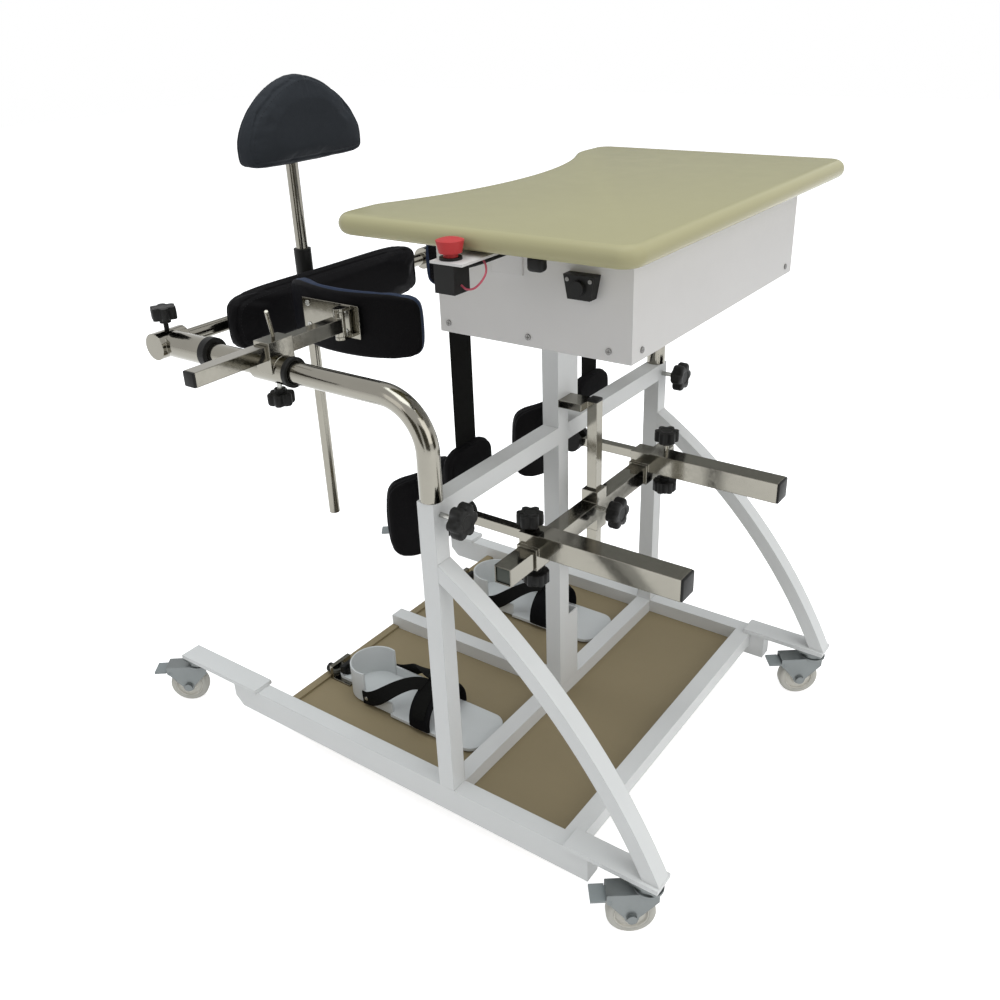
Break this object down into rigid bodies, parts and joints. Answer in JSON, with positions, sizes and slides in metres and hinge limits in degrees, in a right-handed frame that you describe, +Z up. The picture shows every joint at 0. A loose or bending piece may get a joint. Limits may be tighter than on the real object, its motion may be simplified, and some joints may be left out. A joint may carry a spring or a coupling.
{
  "type": "standing frame",
  "caption": "Powered standing frame on braked castors: cut-out tray over a lift housing, with head, back, side and knee pads on sliding clamps and strapped foot holders.",
  "frame": {"origin": "bottom centre of the bounding box, on the floor between the castors", "axes": "+X to the user's right, the side with the emergency button; +Y forwards, the way the user faces over the tray; +Z up"},
  "size_m": [0.988, 1.1122, 1.153],
  "materials": {
    "white_frame": "white powder coat",
    "white_sheet": "white powder coat, slightly textured",
    "board": "brown laminate",
    "tray_board": "cream high-gloss laminate",
    "chrome": "polished chrome",
    "zinc": "zinc plated pressed steel",
    "grey_plastic": "grey moulded plastic",
    "wheel_grey": "pale non-marking tread",
    "black_plastic": "black moulded plastic",
    "white_plastic": "white moulded plastic",
    "black_webbing": "black woven webbing",
    "black_upholstery": "black coated upholstery over foam",
    "navy_upholstery": "charcoal upholstery over foam",
    "red_plastic": "red moulded plastic",
    "machine": "bare cast and painted housings"
  },
  "bodies": {
    "base": {"base_frame": "white_frame", "uprights": "white_frame", "arch_braces": "white_frame", "floor_boards": "board", "knee_guide": "chrome", "housing": "white_sheet", "tray": "tray_board", "stop_base": "black_plastic", "hand_socket": "black_plastic", "drive_unit": "machine", "lift_straps": "black_webbing", "sling_pads": "black_upholstery", "castor_heads": "zinc", "foot_brackets": "chrome"},
    "castor_front_right": {"castor_fork_front_right": "zinc"},
    "wheel_front_right": {"castor_wheel_front_right": "wheel_grey"},
    "brake_front_right": {"castor_brake_front_right": "grey_plastic"},
    "castor_front_left": {"castor_fork_front_left": "zinc"},
    "wheel_front_left": {"castor_wheel_front_left": "wheel_grey"},
    "brake_front_left": {"castor_brake_front_left": "grey_plastic"},
    "castor_rear_right": {"castor_fork_rear_right": "zinc"},
    "wheel_rear_right": {"castor_wheel_rear_right": "wheel_grey"},
    "brake_rear_right": {"castor_brake_rear_right": "grey_plastic"},
    "castor_rear_left": {"castor_fork_rear_left": "zinc"},
    "wheel_rear_left": {"castor_wheel_rear_left": "wheel_grey"},
    "brake_rear_left": {"castor_brake_rear_left": "grey_plastic"},
    "back_frame": {"back_tubes": "chrome"},
    "back_carriage": {"back_bar": "chrome", "back_knobs": "black_plastic", "back_pad": "black_upholstery"},
    "headrest": {"headrest_post": "chrome", "headrest_pad": "navy_upholstery"},
    "knee_carriage": {"knee_crossbar": "chrome"},
    "side_clamp_right": {"side_clamp_right": "chrome"},
    "side_bar_right": {"side_bar_right": "chrome"},
    "side_pad_right": {"side_plate_right": "chrome", "side_pad_right": "black_upholstery"},
    "side_knob_right": {"side_knob_right": "black_plastic"},
    "knee_arm_right": {"knee_arm_right": "chrome"},
    "knee_rod_right": {"knee_rod_right": "chrome"},
    "knee_pad_right": {"knee_bracket_right": "black_plastic", "knee_pad_right": "black_upholstery"},
    "post_knob_right": {"post_knob_right": "black_plastic"},
    "foot_right": {"foot_sole_right": "white_plastic", "foot_strap_right": "black_webbing"},
    "side_clamp_left": {"side_clamp_left": "chrome"},
    "side_bar_left": {"side_bar_left": "chrome"},
    "side_pad_left": {"side_plate_left": "chrome", "side_pad_left": "black_upholstery"},
    "side_knob_left": {"side_knob_left": "black_plastic"},
    "knee_arm_left": {"knee_arm_left": "chrome"},
    "knee_rod_left": {"knee_rod_left": "chrome"},
    "knee_pad_left": {"knee_bracket_left": "black_plastic", "knee_pad_left": "black_upholstery"},
    "post_knob_left": {"post_knob_left": "black_plastic"},
    "foot_left": {"foot_sole_left": "white_plastic", "foot_strap_left": "black_webbing"},
    "knee_knob": {"knee_knob": "black_plastic"},
    "stop_button": {"stop_button": "red_plastic"},
    "winch": {"winch_shaft": "machine"}
  },
  "joints": [
    {"name": "castor_front_right_swivel", "type": "hinge", "parent": "base", "child": "castor_front_right", "pos_m": [0.34, 0.53211, 0.086], "axis": [0, 0, 1], "continuous": true},
    {"name": "wheel_front_right_roll", "type": "hinge", "parent": "castor_front_right", "child": "wheel_front_right", "pos_m": [0.35565, 0.51134, 0.0375], "axis": [0.7986, 0.6018, 0], "continuous": true},
    {"name": "brake_front_right_press", "type": "hinge", "parent": "castor_front_right", "child": "brake_front_right", "pos_m": [0.3749, 0.48578, 0.0715], "axis": [0.7986, 0.6018, 0], "range_deg": [0, 15]},
    {"name": "castor_front_left_swivel", "type": "hinge", "parent": "base", "child": "castor_front_left", "pos_m": [-0.34, 0.53211, 0.086], "axis": [0, 0, 1], "continuous": true},
    {"name": "wheel_front_left_roll", "type": "hinge", "parent": "castor_front_left", "child": "wheel_front_left", "pos_m": [-0.32435, 0.51134, 0.0375], "axis": [0.7986, 0.6018, 0], "continuous": true},
    {"name": "brake_front_left_press", "type": "hinge", "parent": "castor_front_left", "child": "brake_front_left", "pos_m": [-0.3051, 0.48578, 0.0715], "axis": [0.7986, 0.6018, 0], "range_deg": [0, 15]},
    {"name": "castor_rear_right_swivel", "type": "hinge", "parent": "base", "child": "castor_rear_right", "pos_m": [0.34, -0.4759, 0.086], "axis": [0, 0, 1], "continuous": true},
    {"name": "wheel_rear_right_roll", "type": "hinge", "parent": "castor_rear_right", "child": "wheel_rear_right", "pos_m": [0.35565, -0.49666, 0.0375], "axis": [0.7986, 0.6018, 0], "continuous": true},
    {"name": "brake_rear_right_press", "type": "hinge", "parent": "castor_rear_right", "child": "brake_rear_right", "pos_m": [0.3749, -0.52222, 0.0715], "axis": [0.7986, 0.6018, 0], "range_deg": [0, 15]},
    {"name": "castor_rear_left_swivel", "type": "hinge", "parent": "base", "child": "castor_rear_left", "pos_m": [-0.34, -0.4759, 0.086], "axis": [0, 0, 1], "continuous": true},
    {"name": "wheel_rear_left_roll", "type": "hinge", "parent": "castor_rear_left", "child": "wheel_rear_left", "pos_m": [-0.32435, -0.49666, 0.0375], "axis": [0.7986, 0.6018, 0], "continuous": true},
    {"name": "brake_rear_left_press", "type": "hinge", "parent": "castor_rear_left", "child": "brake_rear_left", "pos_m": [-0.3051, -0.52222, 0.0715], "axis": [0.7986, 0.6018, 0], "range_deg": [0, 15]},
    {"name": "back_frame_height", "type": "slide", "parent": "base", "child": "back_frame", "axis": [0, 0, 1], "range_m": [0, 0.12]},
    {"name": "back_depth", "type": "slide", "parent": "back_frame", "child": "back_carriage", "axis": [0, -1, 0], "range_m": [0, 0.05]},
    {"name": "headrest_height", "type": "slide", "parent": "back_carriage", "child": "headrest", "axis": [0, 0, 1], "range_m": [-0.1, 0.1]},
    {"name": "knee_height", "type": "slide", "parent": "base", "child": "knee_carriage", "axis": [0, 0, 1], "range_m": [-0.06, 0.02]},
    {"name": "side_clamp_right_depth", "type": "slide", "parent": "back_frame", "child": "side_clamp_right", "axis": [0, 1, 0], "range_m": [0, 0.06]},
    {"name": "side_bar_right_width", "type": "slide", "parent": "side_clamp_right", "child": "side_bar_right", "axis": [1, 0, 0], "range_m": [-0.05, 0.05]},
    {"name": "side_pad_right_swing", "type": "hinge", "parent": "side_bar_right", "child": "side_pad_right", "pos_m": [0.2, -0.11789, 0.7984], "axis": [0, 0, 1], "range_deg": [-12, 12]},
    {"name": "side_knob_right_turn", "type": "hinge", "parent": "side_clamp_right", "child": "side_knob_right", "pos_m": [0.34, -0.11789, 0.74], "axis": [0, 0, 1], "continuous": true},
    {"name": "knee_arm_right_width", "type": "slide", "parent": "knee_carriage", "child": "knee_arm_right", "axis": [1, 0, 0], "range_m": [-0.06, 0.04]},
    {"name": "knee_rod_right_depth", "type": "slide", "parent": "knee_arm_right", "child": "knee_rod_right", "axis": [0, 1, 0], "range_m": [-0.05, 0.035]},
    {"name": "knee_pad_right_tilt", "type": "hinge", "parent": "knee_rod_right", "child": "knee_pad_right", "pos_m": [0.178, 0.08811, 0.5058], "axis": [1, 0, 0], "range_deg": [-10, 10]},
    {"name": "post_knob_right_turn", "type": "hinge", "parent": "base", "child": "post_knob_right", "pos_m": [0.34, 0.20811, 0.602], "axis": [0, 1, 0], "continuous": true},
    {"name": "foot_right_turn", "type": "hinge", "parent": "base", "child": "foot_right", "pos_m": [0.196, -0.20389, 0.077], "axis": [0, 0, 1], "range_deg": [-8, 8]},
    {"name": "side_clamp_left_depth", "type": "slide", "parent": "back_frame", "child": "side_clamp_left", "axis": [0, 1, 0], "range_m": [0, 0.06]},
    {"name": "side_bar_left_width", "type": "slide", "parent": "side_clamp_left", "child": "side_bar_left", "axis": [-1, 0, 0], "range_m": [-0.1, 0.004]},
    {"name": "side_pad_left_swing", "type": "hinge", "parent": "side_bar_left", "child": "side_pad_left", "pos_m": [-0.3, -0.11789, 0.7984], "axis": [0, 0, -1], "range_deg": [-12, 12]},
    {"name": "side_knob_left_turn", "type": "hinge", "parent": "side_clamp_left", "child": "side_knob_left", "pos_m": [-0.34, -0.11789, 0.74], "axis": [0, 0, 1], "continuous": true},
    {"name": "knee_arm_left_width", "type": "slide", "parent": "knee_carriage", "child": "knee_arm_left", "axis": [-1, 0, 0], "range_m": [-0.06, 0.04]},
    {"name": "knee_rod_left_depth", "type": "slide", "parent": "knee_arm_left", "child": "knee_rod_left", "axis": [0, 1, 0], "range_m": [-0.05, 0.035]},
    {"name": "knee_pad_left_tilt", "type": "hinge", "parent": "knee_rod_left", "child": "knee_pad_left", "pos_m": [-0.178, 0.08811, 0.5058], "axis": [1, 0, 0], "range_deg": [-10, 10]},
    {"name": "post_knob_left_turn", "type": "hinge", "parent": "base", "child": "post_knob_left", "pos_m": [-0.34, 0.20811, 0.602], "axis": [0, 1, 0], "continuous": true},
    {"name": "foot_left_turn", "type": "hinge", "parent": "base", "child": "foot_left", "pos_m": [-0.196, -0.20389, 0.077], "axis": [0, 0, 1], "range_deg": [-8, 8]},
    {"name": "knee_knob_turn", "type": "hinge", "parent": "knee_carriage", "child": "knee_knob", "pos_m": [0, 0.2681, 0.479], "axis": [0, 1, 0], "continuous": true},
    {"name": "stop_button_press", "type": "slide", "parent": "base", "child": "stop_button", "axis": [0, 0, -1], "range_m": [0, 0.004], "stiffness_N_per_m": 900, "springref_m": -0.002},
    {"name": "winch_turn", "type": "hinge", "parent": "base", "child": "winch", "pos_m": [0, 0.22811, 0.874], "axis": [1, 0, 0], "continuous": true}
  ]
}
